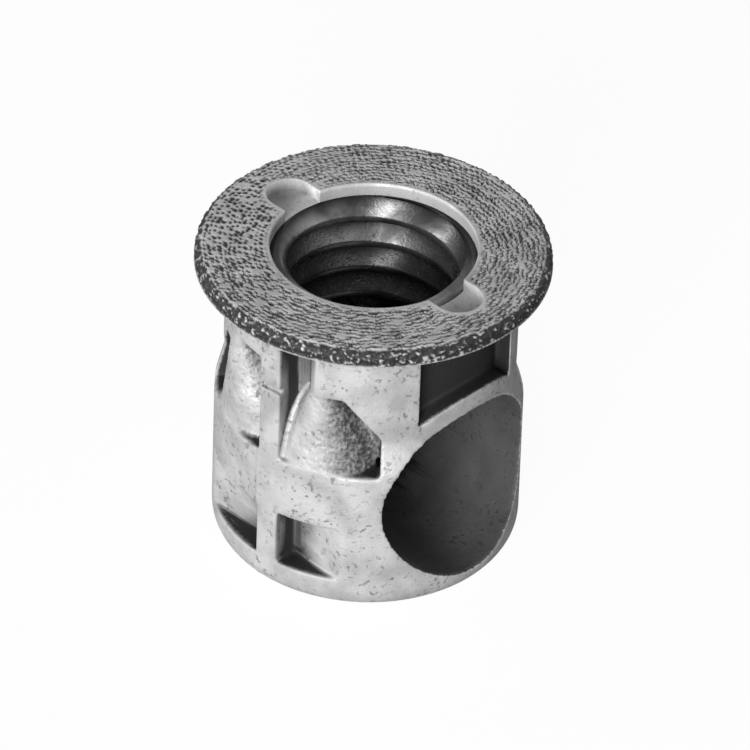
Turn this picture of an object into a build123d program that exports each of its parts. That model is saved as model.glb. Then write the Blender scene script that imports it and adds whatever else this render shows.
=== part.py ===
from build123d import *
import os

# Flanged threaded insert for furniture, cast in zinc as one piece.
# A screw thread runs down from the flange and meets a plain blind bore in the side of the barrel.
# Millimetres. The origin is the middle of the flat bottom, +Z points up to the flange,
# +X points out of the cross bore and Y runs through the two ribs.

# Overall sizes
height = 16.6
barrel_d = 15.0
barrel_drop = 8.45
bottom_edge_r = 1.3

# Flange
flange_d = 17.25
flange_t = 0.85
flange_edge_r = 0.5

# Neck between the flange and the barrel
core_d = 12.4
neck_d = 14.2

# Heights above the barrel's top, for the shoulder and what stands on the barrel
shoulder_foot_h = 0.15
shoulder_h = 1.85
cheek_h = 2.05
lug_h = 4.25
short_pocket_h = 5.1

# Thread M10 x 1.5, bored here to the size that the thread is cut in
thread_bore_d = 8.4
recess_d = 10.05
recess_depth = 0.7

# Notches for a screwdriver blade, one at each side of the recess
notch_w = 2.4
notch_reach = 6.9

# Cross bore, blind, and the lip that rises over its mouth
cross_bore_d = 9.4
cross_bore_drop = 10.65
cross_bore_end = 5.8
lip_d = 10.6
lip_raise = 0.45

# Windows in the neck, one over the cross bore and one behind
window_w = 6.1

# Rib beside the parting plane, with a nick across it
rib_w = 1.2
nick_drop = 4.6
nick_h = 0.3
nick_depth = 0.25

# Pockets beside the ribs, above and below the barrel's band
pocket_reach = 2.7
low_pocket_top = 11.7
low_pocket_bottom = 14.7
low_pocket_floor = 12.2

# Lug: a pillar under the flange that flares into a cone, and its clearance in the post beside it
pillar_r = 0.8
pillar_x = 2.73
pillar_y = 5.71
lug_r = 2.9
lug_x = 1.84
lug_y = 4.2
cheek_inner = 1.3
cheek_outer = 0.55

# Places worked out from the sizes
barrel_r = barrel_d / 2
flange_r = flange_d / 2
core_r = core_d / 2
neck_r = neck_d / 2
under_flange = height - flange_t
barrel_top = height - barrel_drop
cross_z = height - cross_bore_drop
recess_floor = height - recess_depth
shoulder_foot = barrel_top + shoulder_foot_h
lug_top = barrel_top + lug_h
beyond = 2 * flange_d
half_turn = Location((0, 0, 0), (0, 0, 180))

# Lug, trimmed to the barrel's radius
with BuildPart() as lug:
    with BuildSketch(Plane.XY.offset(lug_top)) as pillar:
        with Locations((pillar_x, -pillar_y)):
            Circle(pillar_r)
    with BuildSketch(Plane.XY.offset(barrel_top)):
        with Locations((lug_x, -lug_y)):
            Circle(lug_r)
    loft()
    extrude(pillar.sketch, amount=under_flange - lug_top)
    with BuildSketch(Plane.XY.offset(barrel_top)):
        Circle(barrel_r)
    extrude(amount=under_flange - barrel_top, mode=Mode.INTERSECT)

# Clearance beside the lug: the corner of the post is cut away on a slant, square to the diagonal
with BuildPart() as cheek:
    with BuildSketch(Plane(origin=(0, 0, 0), x_dir=(1, 1, 0), z_dir=(1, -1, 0))):
        with BuildLine():
            Polyline(
                (-cheek_inner, lug_top),
                (cheek_outer, barrel_top + cheek_h),
                (cheek_outer, barrel_top),
                (-beyond, barrel_top),
                (-beyond, lug_top),
                close=True,
            )
        make_face()
    extrude(amount=beyond)
    with BuildSketch(Plane.XY.offset(barrel_top)):
        Circle(core_r)
    extrude(amount=under_flange - barrel_top, mode=Mode.SUBTRACT)
    with BuildSketch(Plane.XY.offset(barrel_top)):
        with Locations((beyond / 2 + rib_w, 0)):
            Rectangle(beyond, 2 * beyond)
    extrude(amount=under_flange - barrel_top, mode=Mode.INTERSECT)

# Windows: one reaches down to the lip over the cross bore, the other to the top of the barrel
with BuildPart() as windows:
    with BuildSketch(Plane.XY.offset(cross_z)):
        with Locations((beyond / 2, 0)):
            Rectangle(beyond, window_w)
    extrude(amount=under_flange - cross_z)
    with BuildSketch(Plane.YZ):
        with Locations((0, cross_z + lip_raise)):
            Circle(lip_d / 2)
    extrude(amount=beyond, mode=Mode.SUBTRACT)
    with BuildSketch(Plane.XY.offset(barrel_top)):
        with Locations((-beyond / 2, 0)):
            Rectangle(beyond, window_w)
    extrude(amount=under_flange - barrel_top)
    with BuildSketch(Plane.XY.offset(cross_z)):
        Circle(core_r)
    extrude(amount=under_flange - cross_z, mode=Mode.SUBTRACT)

# Pocket beside a rib, up to the flange, and the shorter one across the parting plane
with BuildPart() as pocket:
    with BuildSketch(Plane.XY.offset(barrel_top)):
        with Locations(((rib_w + pocket_reach) / 2, -beyond / 2)):
            Rectangle(pocket_reach - rib_w, beyond)
        Circle(core_r, mode=Mode.SUBTRACT)
    extrude(amount=under_flange - barrel_top)
with BuildPart() as short_pocket:
    with BuildSketch(Plane.XY.offset(barrel_top)):
        with Locations((-pocket_reach / 2, -beyond / 2)):
            Rectangle(pocket_reach, beyond)
        Circle(core_r, mode=Mode.SUBTRACT)
    extrude(amount=short_pocket_h)

# Flange, with its top edge rounded
with BuildPart() as flange:
    with BuildSketch(Plane.XY.offset(under_flange)):
        Circle(flange_r)
    extrude(amount=flange_t)
    fillet(flange.edges().sort_by(Axis.Z)[-1], flange_edge_r)

# The lug and its clearance across the parting plane
other_lug = mirror(lug.part, about=Plane.YZ)
other_cheek = mirror(cheek.part, about=Plane.YZ)

# Rib, from the barrel up to the flange
with BuildPart() as rib:
    with BuildSketch(Plane.XY.offset(shoulder_foot)):
        with Locations((rib_w / 2, -beyond / 2)):
            Rectangle(rib_w, beyond)
        Circle(barrel_r, mode=Mode.INTERSECT)
        Circle(thread_bore_d / 2, mode=Mode.SUBTRACT)
    extrude(amount=under_flange - shoulder_foot)
    with BuildSketch(Plane.XY.offset(height - nick_drop)):
        Rectangle(beyond, beyond)
        Circle(barrel_r - nick_depth, mode=Mode.SUBTRACT)
    extrude(amount=nick_h, mode=Mode.SUBTRACT)

with BuildPart() as insert_body:
    # Barrel and neck turned as one outline
    with BuildSketch(Plane.XZ):
        with BuildLine():
            Polyline(
                (0, 0),
                (barrel_r, 0),
                (barrel_r, shoulder_foot),
                (neck_r, barrel_top + shoulder_h),
                (neck_r, under_flange),
                (0, under_flange),
                close=True,
            )
        make_face()
    revolve(axis=Axis.Z)
    fillet(insert_body.edges().filter_by(GeomType.CIRCLE).sort_by(Axis.Z)[0], bottom_edge_r)

    # Windows, pockets and lug clearances, the same again after half a turn
    add(windows.part, mode=Mode.SUBTRACT)
    for cut in (pocket.part, short_pocket.part, cheek.part, other_cheek):
        add(cut, mode=Mode.SUBTRACT)
        add(half_turn * cut, mode=Mode.SUBTRACT)
    for boss in (lug.part, other_lug):
        add(boss)
        add(half_turn * boss)

    # Flat-floored pockets low on the barrel
    with BuildSketch(Plane.XY.offset(height - low_pocket_bottom)):
        Rectangle(beyond, beyond)
        Rectangle(beyond, low_pocket_floor, mode=Mode.SUBTRACT)
        with Locations((rib_w / 2, -beyond / 2), (-rib_w / 2, beyond / 2)):
            Rectangle(rib_w, beyond, mode=Mode.SUBTRACT)
    extrude(amount=low_pocket_bottom - low_pocket_top, mode=Mode.SUBTRACT)

    # Ribs, each on one side of the parting plane
    add(rib.part)
    add(half_turn * rib.part)

    add(flange.part)

    # Recess with its two notches
    with BuildSketch(Plane.XY.offset(height)):
        Circle(recess_d / 2)
        SlotOverall(2 * notch_reach, notch_w)
    extrude(amount=-recess_depth, mode=Mode.SUBTRACT)

    # Thread bore down to the cross bore
    with BuildSketch(Plane.XY.offset(cross_z)):
        Circle(thread_bore_d / 2)
    extrude(amount=recess_floor - cross_z, mode=Mode.SUBTRACT)
    with BuildSketch(Plane(origin=(-cross_bore_end, 0, cross_z), x_dir=(0, 0, -1), z_dir=(1, 0, 0))):
        Circle(cross_bore_d / 2)
    extrude(amount=beyond, mode=Mode.SUBTRACT)

insert_body.part.label = "insert_body"
os.makedirs("parts", exist_ok=True)
export_step(insert_body.part, "parts/insert_body.step")
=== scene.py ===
# %% [markdown]
# # A flanged threaded insert, cast in zinc
# The insert is pushed into a drilled hole in a board. A screw runs down its thread and grips
# whatever has been put in through the round bore in its side. The CAD model gives every size;
# this script dresses it as the real casting: soft edges, a pitted flange and a cut thread.

# %% The frame and the scale
import math

import bmesh
import bpy
from mathutils import Matrix, Vector, noise
from mathutils.bvhtree import BVHTree


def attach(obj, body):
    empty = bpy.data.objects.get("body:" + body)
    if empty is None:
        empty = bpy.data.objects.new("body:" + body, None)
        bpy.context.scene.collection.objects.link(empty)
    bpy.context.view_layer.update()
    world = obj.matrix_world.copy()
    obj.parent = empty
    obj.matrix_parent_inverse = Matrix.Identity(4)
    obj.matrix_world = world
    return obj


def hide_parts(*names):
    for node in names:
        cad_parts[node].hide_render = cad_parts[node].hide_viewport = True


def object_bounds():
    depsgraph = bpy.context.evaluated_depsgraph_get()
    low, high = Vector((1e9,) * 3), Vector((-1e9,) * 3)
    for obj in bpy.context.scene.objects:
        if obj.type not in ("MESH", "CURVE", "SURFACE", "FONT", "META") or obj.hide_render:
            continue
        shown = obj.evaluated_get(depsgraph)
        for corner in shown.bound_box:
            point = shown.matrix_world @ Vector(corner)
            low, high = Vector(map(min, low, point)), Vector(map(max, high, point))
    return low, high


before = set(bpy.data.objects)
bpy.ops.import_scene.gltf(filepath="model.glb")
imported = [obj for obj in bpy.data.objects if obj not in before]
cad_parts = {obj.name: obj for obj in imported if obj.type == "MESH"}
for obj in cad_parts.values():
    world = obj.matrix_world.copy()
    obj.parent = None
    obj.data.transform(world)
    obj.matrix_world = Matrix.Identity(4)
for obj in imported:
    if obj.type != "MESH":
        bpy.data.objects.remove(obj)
cad_low, cad_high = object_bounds()
MM = 0.001
height = cad_high.z / MM
flange_r = cad_high.x / MM
print(f"insert {height:.2f} mm tall, flange {2 * flange_r:.2f} mm across")

# %% [markdown]
# ## Working in millimetres
# Blender's modifiers use small fixed tolerances, so a part this small is shaped at a thousand
# times its size and brought down at the end. Each finished piece keeps its place in its own
# mesh and rides on the part's one body.

# %% Helpers that finish a piece
def to_object(name, bm):
    mesh = bpy.data.meshes.new(name)
    bm.to_mesh(mesh)
    bm.free()
    made = bpy.data.objects.new(name, mesh)
    bpy.context.scene.collection.objects.link(made)
    return made


def apply_modifiers(piece):
    graph = bpy.context.evaluated_depsgraph_get()
    mesh = bpy.data.meshes.new_from_object(piece.evaluated_get(graph))
    piece.modifiers.clear()
    piece.data = mesh


def clamp(value):
    return max(0.0, min(1.0, value))


def finish_piece(piece, material):
    piece.data.transform(Matrix.Scale(MM, 4))
    piece.data.shade_smooth()
    piece.data.materials.clear()
    piece.data.materials.append(material)
    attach(piece, "root")
    piece.data.calc_loop_triangles()
    print(f"{piece.name}: {len(piece.data.loop_triangles)} triangles")


# %% Helpers that cut one shape out of another
def cylinder(name, radius, depth, matrix):
    bm = bmesh.new()
    bmesh.ops.create_cone(
        bm, cap_ends=True, segments=128, radius1=radius, radius2=radius, depth=depth, matrix=matrix)
    return to_object(name, bm)


def cut_out(piece, cutter, solver="MANIFOLD"):
    boolean = piece.modifiers.new("cut", "BOOLEAN")
    boolean.operation = "DIFFERENCE"
    boolean.solver = solver
    boolean.object = cutter
    apply_modifiers(piece)
    bpy.data.objects.remove(cutter)


# %% [markdown]
# ## The casting's surface
# Die-cast zinc is dull and slightly uneven. Molten metal chills against the die in patches, and
# fine pores open on the skin. One node group makes both from Object coordinates, so that the
# pattern runs on across every piece, and each material sets how strong they are.

# %% Node group: chill patches, pores and grain
patch_mm = 1.6
pore_mm = 0.26
pore_area_mm = 1.1
grain_mm = 0.12


def noise_node(nodes, size_mm, detail):
    node = nodes.new("ShaderNodeTexNoise")
    node.inputs["Scale"].default_value = 1 / (size_mm * MM)
    node.inputs["Detail"].default_value = detail
    return node


def ramp_node(nodes, low, high, to_low=0.0, to_high=1.0):
    node = nodes.new("ShaderNodeMapRange")
    node.inputs["From Min"].default_value = low
    node.inputs["From Max"].default_value = high
    node.inputs["To Min"].default_value = to_low
    node.inputs["To Max"].default_value = to_high
    return node


skin = bpy.data.node_groups.new("cast_skin", "ShaderNodeTree")
skin.interface.new_socket("Pores", in_out="INPUT", socket_type="NodeSocketFloat")
skin.interface.new_socket("Patches", in_out="OUTPUT", socket_type="NodeSocketFloat")
skin.interface.new_socket("Pore Mask", in_out="OUTPUT", socket_type="NodeSocketFloat")
skin.interface.new_socket("Height", in_out="OUTPUT", socket_type="NodeSocketFloat")
nodes, links = skin.nodes, skin.links
inside = nodes.new("NodeGroupInput")
outside = nodes.new("NodeGroupOutput")
place = nodes.new("ShaderNodeTexCoord")
patches = noise_node(nodes, patch_mm, 3)
pore_spots = noise_node(nodes, pore_mm, 2)
pore_areas = noise_node(nodes, pore_area_mm, 2)
grain = noise_node(nodes, grain_mm, 2)
for texture in (patches, pore_spots, pore_areas, grain):
    links.new(place.outputs["Object"], texture.inputs["Vector"])
patch_range = ramp_node(nodes, 0.35, 0.65)
links.new(patches.outputs["Fac"], patch_range.inputs["Value"])
links.new(patch_range.outputs["Result"], outside.inputs["Patches"])

# %% Pores gather where a larger noise is high
spot_range = ramp_node(nodes, 0.57, 0.68)
area_range = ramp_node(nodes, 0.37, 0.60)
links.new(pore_spots.outputs["Fac"], spot_range.inputs["Value"])
links.new(pore_areas.outputs["Fac"], area_range.inputs["Value"])
both = nodes.new("ShaderNodeMath")
both.operation = "MULTIPLY"
links.new(spot_range.outputs["Result"], both.inputs[0])
links.new(area_range.outputs["Result"], both.inputs[1])
amount = nodes.new("ShaderNodeMath")
amount.operation = "MULTIPLY"
links.new(both.outputs["Value"], amount.inputs[0])
links.new(inside.outputs["Pores"], amount.inputs[1])
links.new(amount.outputs["Value"], outside.inputs["Pore Mask"])
relief = nodes.new("ShaderNodeMath")
relief.operation = "SUBTRACT"
links.new(grain.outputs["Fac"], relief.inputs[0])
links.new(amount.outputs["Value"], relief.inputs[1])
links.new(relief.outputs["Value"], outside.inputs["Height"])
print("node group cast_skin with", len(nodes), "nodes")


# %% A zinc material with its own tones, pores and pits
# Where a colour Mix node keeps its two colours and its result
mix_below, mix_above, mix_result = 6, 7, 2
# Shelter between these two values paints shade into recesses: a dark grey over the colour and a
# lower specular.
shelter_low = 0.2
shelter_high = 0.55
open_shine = 0.5
sheltered_shine = 0.08


def grey(tone):
    return (tone, tone, tone, 1)


def lay_over(nodes, links, below, mask, tone):
    """A flat grey laid over the colour below wherever the mask is 1."""
    mix = nodes.new("ShaderNodeMix")
    mix.data_type = "RGBA"
    mix.inputs[mix_above].default_value = grey(tone)
    links.new(mask, mix.inputs[0])
    links.new(below, mix.inputs[mix_below])
    return mix.outputs[mix_result]


def zinc(
        name, tone, patch_tone, pit_painted_shade_tone, roughness, pores, grain_depth,
        painted_shade_tone=None, metallic=0.3):
    material = bpy.data.materials.new(name)
    material.use_nodes = True
    nodes, links = material.node_tree.nodes, material.node_tree.links
    metal = nodes["Principled BSDF"]
    metal.inputs["Metallic"].default_value = metallic
    surface = nodes.new("ShaderNodeGroup")
    surface.node_tree = skin
    surface.inputs["Pores"].default_value = pores
    patched = nodes.new("ShaderNodeMix")
    patched.data_type = "RGBA"
    patched.inputs[mix_below].default_value = grey(patch_tone)
    patched.inputs[mix_above].default_value = grey(tone)
    links.new(surface.outputs["Patches"], patched.inputs[0])
    colour = lay_over(
        nodes, links, patched.outputs[mix_result], surface.outputs["Pore Mask"], tone / 4)
    # The pit attribute lays a dark grey over the colour: painted shade in the flange's pits and
    # rim, in the notches, at the thread's roots and on the lugs' shaded sides.
    pit = nodes.new("ShaderNodeAttribute")
    pit.attribute_name = "pit"
    colour = lay_over(nodes, links, colour, pit.outputs["Fac"], pit_painted_shade_tone)
    # Sheltered places get painted shade: a dark grey laid over the colour and less shine.
    if painted_shade_tone is not None:
        shelter = nodes.new("ShaderNodeAttribute")
        shelter.attribute_name = "shelter"
        painted_shade_ramp = ramp_node(nodes, shelter_low, shelter_high)
        links.new(shelter.outputs["Fac"], painted_shade_ramp.inputs["Value"])
        colour = lay_over(nodes, links, colour, painted_shade_ramp.outputs["Result"], painted_shade_tone)
        shine = ramp_node(nodes, shelter_low, shelter_high, open_shine, sheltered_shine)
        links.new(shelter.outputs["Fac"], shine.inputs["Value"])
        links.new(shine.outputs["Result"], metal.inputs["Specular IOR Level"])
    links.new(colour, metal.inputs["Base Color"])
    dullness = ramp_node(nodes, 0, 1, roughness + 0.1, roughness - 0.05)
    links.new(surface.outputs["Patches"], dullness.inputs["Value"])
    links.new(dullness.outputs["Result"], metal.inputs["Roughness"])
    bump = nodes.new("ShaderNodeBump")
    bump.inputs["Strength"].default_value = 1
    bump.inputs["Distance"].default_value = grain_depth * MM
    links.new(surface.outputs["Height"], bump.inputs["Height"])
    links.new(bump.outputs["Normal"], metal.inputs["Normal"])
    return material


# %% The insert's three finishes: the cast skin, the pitted flange and the cut thread
zinc_skin = zinc(
    "zinc_skin", tone=0.66, patch_tone=0.44, pit_painted_shade_tone=0.1, roughness=0.6, pores=0.75,
    grain_depth=0.02, painted_shade_tone=0.04)
zinc_pitted = zinc(
    "zinc_pitted", tone=0.72, patch_tone=0.56, pit_painted_shade_tone=0.03, roughness=0.55, pores=0.3,
    grain_depth=0.02)
zinc_cut = zinc(
    "zinc_cut", tone=0.36, patch_tone=0.1, pit_painted_shade_tone=0.01, roughness=0.26, pores=0.4,
    grain_depth=0.01, metallic=0.7)
print("finishes:", zinc_skin.name, zinc_pitted.name, zinc_cut.name)

# %% [markdown]
# ## The barrel and neck
# The body is the CAD solid with its flange taken off, because the flange gets a finer mesh of
# its own. Casting leaves no dead sharp edges. A voxel remesh followed by smoothing rounds every
# edge by a tenth of a millimetre or two, inside and out, without choosing edges by hand.

# %% The CAD solid, cut off just under the flange and closed
flange_t = 0.85
seat_z = height - flange_t
thread_root_r = 5.0
recess_depth = 0.7
recess_floor = height - recess_depth
cap_gap = 0.01
cap_rise = 0.1
bm = bmesh.new()
bm.from_mesh(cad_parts["insert_body"].data)
bmesh.ops.transform(bm, matrix=Matrix.Scale(1 / MM, 4), verts=bm.verts)
bmesh.ops.remove_doubles(bm, verts=bm.verts, dist=0.001)
bmesh.ops.bisect_plane(
    bm, geom=bm.verts[:] + bm.edges[:] + bm.faces[:],
    plane_co=(0, 0, seat_z - cap_gap), plane_no=(0, 0, 1), clear_outer=True)
rim = [edge for edge in bm.edges if edge.is_boundary]
cap = bmesh.ops.triangle_fill(bm, edges=rim, use_beauty=True)
cap_faces = [item for item in cap["geom"] if isinstance(item, bmesh.types.BMFace)]
raised = bmesh.ops.extrude_face_region(bm, geom=cap_faces)
top_verts = [item for item in raised["geom"] if isinstance(item, bmesh.types.BMVert)]
bmesh.ops.delete(bm, geom=cap_faces, context="FACES")
bmesh.ops.translate(bm, vec=(0, 0, cap_rise), verts=top_verts)
bmesh.ops.recalc_face_normals(bm, faces=bm.faces)
print("open edges left:", sum(not edge.is_manifold for edge in bm.edges))
cast_body = to_object("cast_body", bm)

# %% The bore opened out to make room for the cut thread
thread_foot = 9.4
room_r = thread_root_r + 0.1
room = cylinder(
    "thread_room", room_r, height, Matrix.Translation((0, 0, thread_foot + height / 2)))
cut_out(cast_body, room, solver="EXACT")
print(f"room for the thread: {2 * room_r:.1f} mm across, from {thread_foot} mm up")

# %% Cast edges
voxel = 0.085
smoothing_rounds = 12
triangle_limit = 190000
remesh = cast_body.modifiers.new("cast_edges", "REMESH")
remesh.mode = "VOXEL"
remesh.voxel_size = voxel
smooth = cast_body.modifiers.new("worn_edges", "SMOOTH")
smooth.factor = 0.5
smooth.iterations = smoothing_rounds
apply_modifiers(cast_body)
print("remeshed faces:", len(cast_body.data.polygons))
fewer = cast_body.modifiers.new("fewer_faces", "DECIMATE")
fewer.ratio = min(1, triangle_limit / (2 * len(cast_body.data.polygons)))
apply_modifiers(cast_body)

# %% [markdown]
# ## Rough lugs
# The four cone-shaped lugs were left as they broke from their gates, so they are coarse and
# torn where the barrel is smooth. Their side turned to the right in the view is rougher and
# carries painted shade. Points that lie on a cone are pushed in by noise, and the pit attribute
# carries the painted shade. The two halves of the die met at x = 0 and left a thin raised line
# down the barrel. How dark the painted shade is was set to match the photograph.

# %% The cones' surfaces roughened
barrel_drop = 8.45
barrel_top = height - barrel_drop
lug_h = 4.25
lug_foot = Vector((1.84, 4.2))
lug_tip = Vector((2.73, 5.71))
lug_foot_r = 2.9
lug_tip_r = 0.8
lug_roughness = 0.11
parting_half_w = 0.1
parting_h = 0.06
parting_inner_r = 7
skin_near = 0.3
skin_fade = 0.15
bm = bmesh.new()
bm.from_mesh(cast_body.data)
layer = bm.verts.layers.float.new("pit")
lug_layer = bm.verts.layers.float.new("lug")
bm.normal_update()
shifts = []
for vert in bm.verts:
    on_parting = abs(vert.co.x) < parting_half_w and vert.co.xy.length > parting_inner_r
    if on_parting and abs(vert.normal.y) > 0.8:
        shifts.append((vert, -vert.normal * parting_h * (1 - abs(vert.co.x) / parting_half_w)))
    rise = (vert.co.z - barrel_top) / lug_h
    if not 0.02 < rise < 1:
        continue
    middle = lug_foot.lerp(lug_tip, rise)
    radius = lug_foot_r + (lug_tip_r - lug_foot_r) * rise
    off = abs(math.hypot(abs(vert.co.x) - middle.x, abs(vert.co.y) - middle.y) - radius)
    near = clamp((skin_near - off) / skin_fade)
    if near:
        torn = 0.5 + 0.4 * noise.noise(vert.co * 4) + 0.7 * noise.noise(vert.co * 9)
        torn = near * clamp(torn)
        vert[lug_layer] = near
        # Painted shade: the lug's side turned to the right in the view is darkened through the pit
        # attribute, and its relief is pushed deeper.
        across = (vert.co.x - math.copysign(middle.x, vert.co.x)) / radius
        rougher_and_shaded_side = clamp(across * math.copysign(1, -vert.co.y))
        vert[layer] = near * min(1.0, rougher_and_shaded_side ** 2.8 * (0.35 + 1.1 * torn))
        shifts.append((vert, vert.normal * torn * lug_roughness * (0.45 + 0.55 * rougher_and_shaded_side)))
for vert, shift in shifts:
    vert.co -= shift
print("points roughened on the lugs:", len(shifts))

# %% [markdown]
# ## Painted shade in the recesses
# Bores and recesses are painted with shade: their colour is darkened and their shine turned
# down. How sheltered each point is can be measured: rays leave it in
# all directions over its surface, and the share that meets metal close by is its shelter. Three
# places don't go by that measure alone. The windows and the cross bore are given at least a set
# value, and the lugs keep only part of theirs. Those numbers were set to match the
# photograph.

# %% Shelter measured with rays, kept as an attribute
ray_count = 20
shelter_reach = 9.0
ray_start = 0.06
window_shelter = 0.9
bore_shelter = 0.5
lug_exposure = 0.7
window_half_w = 3.02
window_back_r = 6.32
cross_bore_r = 4.7
cross_bore_end = 5.8
barrel_inner_r = 7.3
cross_bore_drop = 10.65
cross_z = height - cross_bore_drop
bore_margin = 0.06
end_margin = 0.1
golden = math.pi * (3 - math.sqrt(5))
rays_up = []
for i in range(ray_count):
    flat = math.sqrt((i + 0.5) / ray_count)
    rays_up.append(Vector((
        flat * math.cos(golden * i), flat * math.sin(golden * i), math.sqrt(1 - flat * flat))))
cover = bmesh.new()
cover.from_mesh(cast_body.data)
bmesh.ops.create_circle(
    cover, cap_ends=True, segments=96, radius=flange_r,
    matrix=Matrix.Translation((0, 0, seat_z + 0.05)))
tree = BVHTree.FromBMesh(cover)
cover.free()
bm.normal_update()
sheltered = bm.verts.layers.float.new("shelter")
for vert in bm.verts:
    turn = vert.normal.to_track_quat("Z", "Y").to_matrix()
    start = vert.co + vert.normal * ray_start
    met = sum(tree.ray_cast(start, turn @ ray, shelter_reach)[0] is not None for ray in rays_up)
    in_window = (
        abs(vert.co.y) < window_half_w and vert.co.xy.length < window_back_r
        and vert.co.z > barrel_top)
    # The bore is blind, so the barrel's skin behind its end is left out
    in_bore = (
        math.hypot(vert.co.y, vert.co.z - cross_z) < cross_bore_r + bore_margin
        and vert.co.x > -cross_bore_end - end_margin
        and (vert.co.x > 0 or vert.co.xy.length < barrel_inner_r))
    # Painted shade: the windows and the cross bore get at least a set shelter, and the lugs keep
    # only part of theirs.
    least = window_shelter if in_window else bore_shelter if in_bore else 0
    vert[sheltered] = max(met / ray_count * (1 - lug_exposure * vert[lug_layer]), least)
print(f"mean shelter {sum(v[sheltered] for v in bm.verts) / len(bm.verts):.2f}")
bm.to_mesh(cast_body.data)
bm.free()
finish_piece(cast_body, zinc_skin)
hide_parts("insert_body")

# %% [markdown]
# ## The flange
# The flange's top is densely pitted in rings. It is one ring-shaped solid, spun from its
# section on a fine mesh, and the pits are pushed into it so that they catch real light. How
# deep each point lies is kept as an attribute, which the material uses to paint shade into the
# pits.

# %% The flange's section, spun round the thread's axis
recess_r = 5.025
edge_r = 0.5
step = 0.056
seat_step = 0.9
wall_step = 0.22


def divided_edge(bm, start, end, length=step):
    """An edge of the section, cut into short lengths."""
    verts = [bm.verts.new((start[0], 0, start[1])), bm.verts.new((end[0], 0, end[1]))]
    edge = bm.edges.new(verts)
    cuts = max(0, round((Vector(end) - Vector(start)).length / length) - 1)
    if cuts:
        bmesh.ops.subdivide_edges(bm, edges=[edge], cuts=cuts)


bm = bmesh.new()
divided_edge(bm, (recess_r, height), (flange_r - edge_r, height))
divided_edge(bm, (flange_r, height - edge_r), (flange_r, seat_z))
divided_edge(bm, (flange_r, seat_z), (recess_r, seat_z), length=seat_step)
divided_edge(bm, (recess_r, seat_z), (recess_r, height), length=wall_step)
corner = bm.verts.new((flange_r - edge_r, 0, height))
bmesh.ops.spin(
    bm, geom=[corner], cent=(flange_r - edge_r, 0, height - edge_r), axis=(0, 1, 0),
    angle=math.pi / 2, steps=round(edge_r * math.pi / 2 / step))
bmesh.ops.remove_doubles(bm, verts=bm.verts, dist=0.001)
turns = 960
bmesh.ops.spin(
    bm, geom=bm.verts[:] + bm.edges[:], cent=(0, 0, 0), axis=(0, 0, 1),
    angle=2 * math.pi, steps=turns, use_merge=True)
bmesh.ops.remove_doubles(bm, verts=bm.verts, dist=0.001)
bmesh.ops.recalc_face_normals(bm, faces=bm.faces)
print("flange:", len(bm.faces), "faces, open edges", sum(not e.is_manifold for e in bm.edges))

# %% Pits in rings, pressed into the top and the rim
pit_depth = 0.09
ring_gap = 0.25
pit_gap = 0.33
plain_share = -0.75
rim_roughness = 0.09
rim_width = 0.35
smooth_edge = 0.1
notch_w = 2.4
notch_reach = 6.9


def pit_at(angle, path):
    """How deep a pit is, from 0 to 1. path runs out over the top and down the rim."""
    here = Vector((math.cos(angle) * 7, math.sin(angle) * 7, path))
    path += 0.12 * noise.noise(here * 1.7) + 0.05 * noise.noise(here * 6)
    ring = math.floor(path / ring_gap)
    pits_round = round(2 * math.pi * min(flange_r, recess_r + path) / pit_gap)
    along = angle / (2 * math.pi) * pits_round + 7 * noise.cell(Vector((ring, 0.5, 0.5)))
    pit = math.floor(along)
    chance = noise.cell(Vector((pit + 0.5, ring + 0.5, 0.5)))
    shift = noise.cell(Vector((pit + 0.5, ring + 0.5, 3.5))) * 0.25
    length = (along - pit - 0.5 - shift) / (0.42 + 0.2 * chance)
    width = (path / ring_gap - ring - 0.5 + shift / 2) / (0.38 + 0.16 * chance)
    return clamp(1.8 * (1 - length * length - width * width)) if chance > plain_share else 0.0


layer = bm.verts.layers.float.new("pit")
bm.normal_update()
shifts = []
for vert in bm.verts:
    across = math.hypot(vert.co.x, vert.co.y)
    if vert.co.z < seat_z + 0.05 or across < recess_r + 0.01:
        continue
    path = across - recess_r + height - vert.co.z
    on_rim = clamp((path - flange_r + recess_r + rim_width) / 0.3)
    past_notch = max(0.0, abs(vert.co.x) - notch_reach + notch_w / 2)
    beside_notch = math.hypot(past_notch, vert.co.y) - notch_w / 2
    inner = clamp((min(path, beside_notch) - smooth_edge) / 0.2)
    # The pit attribute paints shade into the pits and into the rim's crumbs.
    vert[layer] = inner * pit_at(math.atan2(vert.co.y, vert.co.x) + math.pi, path)
    crumbs = on_rim * max(0.0, 0.55 + noise.noise(vert.co * 4.5) + 0.6 * noise.noise(vert.co * 9))
    vert[layer] = max(vert[layer], min(1.0, crumbs * 3))
    depth = vert[layer] * pit_depth * (1 - on_rim) + crumbs * rim_roughness
    shifts.append((vert, vert.normal * depth))
for vert, shift in shifts:
    vert.co -= shift
flange = to_object("flange", bm)
print("points in the flange's pits and on its rim:", len(shifts))

# %% Two notches for a screwdriver blade, cut down to just above the thread's sleeve
notch_clear = 0.01
# The notch cutter's pit value passes into the notches' walls and floor as painted shade.
notch_painted_shade = 0.5
bm = bmesh.new()
bmesh.ops.create_circle(
    bm, cap_ends=True, segments=48, radius=notch_w / 2,
    matrix=Matrix.Translation((0, 0, recess_floor + notch_clear)))
layer = bm.verts.layers.float.new("pit")
for vert in bm.verts:
    vert.co.x += math.copysign(notch_reach - notch_w / 2, vert.co.x)
    vert[layer] = notch_painted_shade
raised = bmesh.ops.extrude_face_region(bm, geom=bm.faces[:])
top_verts = [item for item in raised["geom"] if isinstance(item, bmesh.types.BMVert)]
bmesh.ops.translate(bm, vec=(0, 0, 2), verts=top_verts)
bmesh.ops.recalc_face_normals(bm, faces=bm.faces)
cut_out(flange, to_object("notch_cutter", bm))
finish_piece(flange, zinc_pitted)

# %% [markdown]
# ## The thread
# The thread is a real M10 x 1.5 helix. Spin with a step along its axis turns one pitch of the
# V-shaped profile into the whole thread, and two flat cuts trim its ends.

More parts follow.
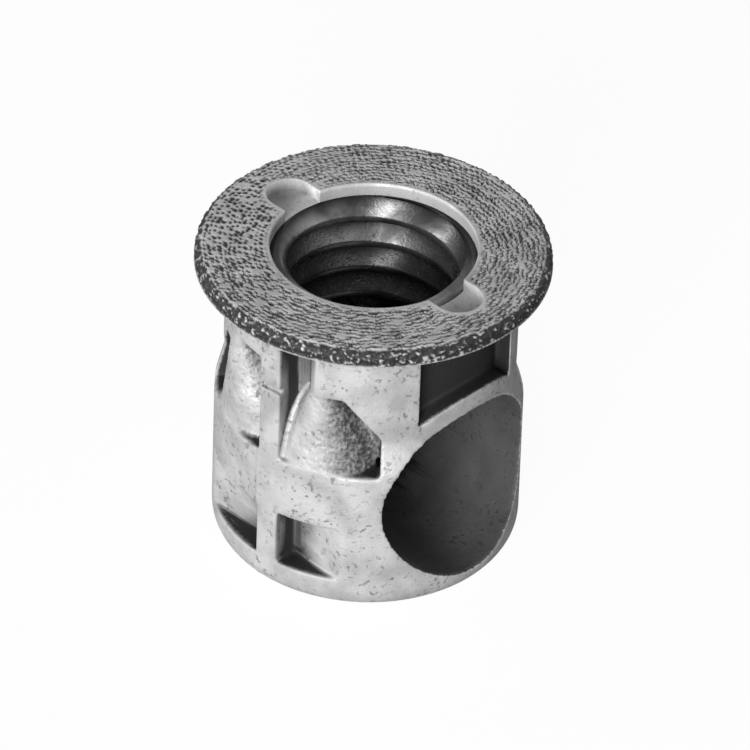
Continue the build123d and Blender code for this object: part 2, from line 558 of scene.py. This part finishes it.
# %% One pitch of the profile, wound up the bore
pitch = 1.5
crest_r = 4.2
backing_r = 5.3
root_start = 0.49
root_end = 0.63
lead_in = 1.7
bm = bmesh.new()
profile = [
    (crest_r, 0),
    (crest_r, pitch / 4),
    (thread_root_r, pitch / 4 + root_start),
    (thread_root_r, pitch / 4 + root_end),
    (crest_r, pitch),
]
chain = [bm.verts.new((r, 0, z)) for r, z in profile]
for low_vert, high_vert in zip(chain, chain[1:]):
    bm.edges.new((low_vert, high_vert))
turn_steps = 120
thread_turns = math.ceil((recess_floor - thread_foot) / pitch) + 2
bmesh.ops.spin(
    bm, geom=bm.verts[:] + bm.edges[:], cent=(0, 0, 0), axis=(0, 0, 1),
    dvec=(0, 0, pitch / turn_steps), angle=2 * math.pi * thread_turns,
    steps=turn_steps * thread_turns)
bmesh.ops.translate(bm, vec=(0, 0, thread_foot - lead_in * pitch), verts=bm.verts)
bmesh.ops.remove_doubles(bm, verts=bm.verts, dist=0.001)
print("turns wound:", thread_turns)

# %% The ends trimmed flat, and the sleeve closed behind the thread
for plane_z, up in ((recess_floor, 1), (thread_foot, -1)):
    bmesh.ops.bisect_plane(
        bm, geom=bm.verts[:] + bm.edges[:] + bm.faces[:],
        plane_co=(0, 0, plane_z), plane_no=(0, 0, up), clear_outer=True)
bmesh.ops.remove_doubles(bm, verts=bm.verts, dist=0.002)
ends = [edge for edge in bm.edges if edge.is_boundary]
walls = []
for plane_z in (recess_floor, thread_foot):
    loop = [edge for edge in ends if abs(edge.verts[0].co.z - plane_z) < 0.01]
    grown = bmesh.ops.extrude_edge_only(bm, edges=loop)
    for vert in (item for item in grown["geom"] if isinstance(item, bmesh.types.BMVert)):
        spread = backing_r / math.hypot(vert.co.x, vert.co.y)
        vert.co.x *= spread
        vert.co.y *= spread
    walls += [item for item in grown["geom"] if isinstance(item, bmesh.types.BMEdge)]
bmesh.ops.bridge_loops(bm, edges=walls)
bmesh.ops.recalc_face_normals(bm, faces=bm.faces)
print("thread open edges:", sum(not edge.is_manifold for edge in bm.edges))

# %% Painted shade in the grooves: dark at the roots, bright at the crests
crest_margin = 0.05
root_shade_depth = 0.3
layer = bm.verts.layers.float.new("pit")
for vert in bm.verts:
    vert[layer] = clamp((vert.co.xy.length - crest_r + crest_margin) / root_shade_depth)
thread = to_object("thread", bm)

# %% The cross bore takes a bite out of the thread's foot
cutter_length = 20
cutter = cylinder(
    "cross_bore_cutter", cross_bore_r, cutter_length,
    Matrix.Translation((0, 0, cross_z)) @ Matrix.Rotation(math.pi / 2, 4, "Y"))
cut_out(thread, cutter, solver="EXACT")
finish_piece(thread, zinc_cut)

# %% [markdown]
# ## The camera
# The photograph was taken with a long lens from above and to the right of the cross bore's
# mouth, and the camera leans a little. The view is set by its angles and by where the middle of
# the flange falls in the 750 pixel frame.

# %% Camera angles, distance and aim
azimuth = math.radians(46)
elevation = math.radians(37.15)
roll = math.radians(2.03)
distance = 472 * MM
pixels_per_mm = 20.86
frame_px = 750
flange_px = Vector((373.95, 245))
level_right = Vector((math.sin(azimuth), math.cos(azimuth), 0))
back = Vector((
    math.cos(azimuth) * math.cos(elevation),
    -math.sin(azimuth) * math.cos(elevation),
    math.sin(elevation)))
level_up = back.cross(level_right)
right = level_right * math.cos(roll) + level_up * math.sin(roll)
up = level_up * math.cos(roll) - level_right * math.sin(roll)
offset = (flange_px - Vector((frame_px / 2, frame_px / 2))) / pixels_per_mm * MM
target = Vector((0, 0, height * MM)) - right * offset.x + up * offset.y
camera = bpy.data.objects.new("camera", bpy.data.cameras.new("camera"))
bpy.context.scene.collection.objects.link(camera)
camera.data.sensor_width = 36
camera.data.lens = pixels_per_mm * distance / MM / frame_px * camera.data.sensor_width
camera.data.clip_start = distance / 100
camera.data.clip_end = 10
camera_turn = Matrix((right, up, back)).transposed().to_4x4()
camera.matrix_world = Matrix.Translation(target + back * distance) @ camera_turn
bpy.context.scene.camera = camera
print(f"lens {camera.data.lens:.0f} mm")

# %% [markdown]
# ## Light, floor and background
# A broad soft lamp stands in front, a little to the left, and a small one far to the left
# brightens the left flanks, so the right of the insert stays in shade. The background is white
# to the camera and to the metal's reflections, and only a dim fill to everything else.

# %% Lamps placed by what the camera sees as left, front and up
level_back = Vector((math.cos(azimuth), -math.sin(azimuth), 0))
aim_point = Vector((0, 0, 0.008))


def soft_lamp(name, left, front, above, size, power):
    lamp = bpy.data.objects.new(name, bpy.data.lights.new(name, "AREA"))
    bpy.context.scene.collection.objects.link(lamp)
    lamp.data.shape = "SQUARE"
    lamp.data.size = size
    lamp.data.energy = power
    lamp.location = level_back * front - level_right * left + Vector((0, 0, above))
    aim = aim_point - lamp.location
    lamp.rotation_euler = aim.to_track_quat("-Z", "Y").to_euler()
    print(f"{name}: {power} W, {aim.length:.2f} m away")


soft_lamp("front_lamp", left=0.12, front=0.46, above=0.12, size=0.24, power=2.5)
soft_lamp("left_lamp", left=0.42, front=0.06, above=0.07, size=0.14, power=0.55)

# %% Floor, white to the camera but keeping the shadow
floor_half_w = 3
bounce_tone = 0.42
glow_strength = 1.06
glow_share = 0.9
bm = bmesh.new()
bmesh.ops.create_grid(bm, x_segments=1, y_segments=1, size=floor_half_w)
floor = to_object("floor", bm)
paper = bpy.data.materials.new("paper")
paper.use_nodes = True
nodes, links = paper.node_tree.nodes, paper.node_tree.links
dim = nodes["Principled BSDF"]
dim.inputs["Base Color"].default_value = grey(bounce_tone)
dim.inputs["Roughness"].default_value = 1
sheet = nodes.new("ShaderNodeBsdfDiffuse")
glow = nodes.new("ShaderNodeEmission")
glow.inputs["Strength"].default_value = glow_strength
seen_paper = nodes.new("ShaderNodeMixShader")
seen_paper.inputs["Fac"].default_value = glow_share
rays = nodes.new("ShaderNodeLightPath")
blend = nodes.new("ShaderNodeMixShader")
links.new(sheet.outputs["BSDF"], seen_paper.inputs[1])
links.new(glow.outputs["Emission"], seen_paper.inputs[2])
links.new(rays.outputs["Is Camera Ray"], blend.inputs["Fac"])
links.new(dim.outputs["BSDF"], blend.inputs[1])
links.new(seen_paper.outputs["Shader"], blend.inputs[2])
links.new(blend.outputs["Shader"], nodes["Material Output"].inputs["Surface"])
floor.data.materials.append(paper)
print(f"floor {2 * floor_half_w} m across")

# %% World: white background, dim fill
world = bpy.data.worlds.new("studio")
bpy.context.scene.world = world
world.use_nodes = True
nodes, links = world.node_tree.nodes, world.node_tree.links
fill_strength = 0.08
fill = nodes["Background"]
fill.inputs["Color"].default_value = grey(1)
fill.inputs["Strength"].default_value = fill_strength
white = nodes.new("ShaderNodeBackground")
white.inputs["Color"].default_value = grey(1)
rays = nodes.new("ShaderNodeLightPath")
seen = rays.outputs["Is Camera Ray"]
for kind in ("Is Glossy Ray", "Is Transmission Ray"):
    either = nodes.new("ShaderNodeMath")
    either.operation = "MAXIMUM"
    links.new(seen, either.inputs[0])
    links.new(rays.outputs[kind], either.inputs[1])
    seen = either.outputs["Value"]
blend = nodes.new("ShaderNodeMixShader")
links.new(seen, blend.inputs["Fac"])
links.new(fill.outputs["Background"], blend.inputs[1])
links.new(white.outputs["Background"], blend.inputs[2])
links.new(blend.outputs["Shader"], nodes["World Output"].inputs["Surface"])
bpy.context.scene.view_settings.view_transform = "Standard"
print(f"white background, fill {fill_strength}")
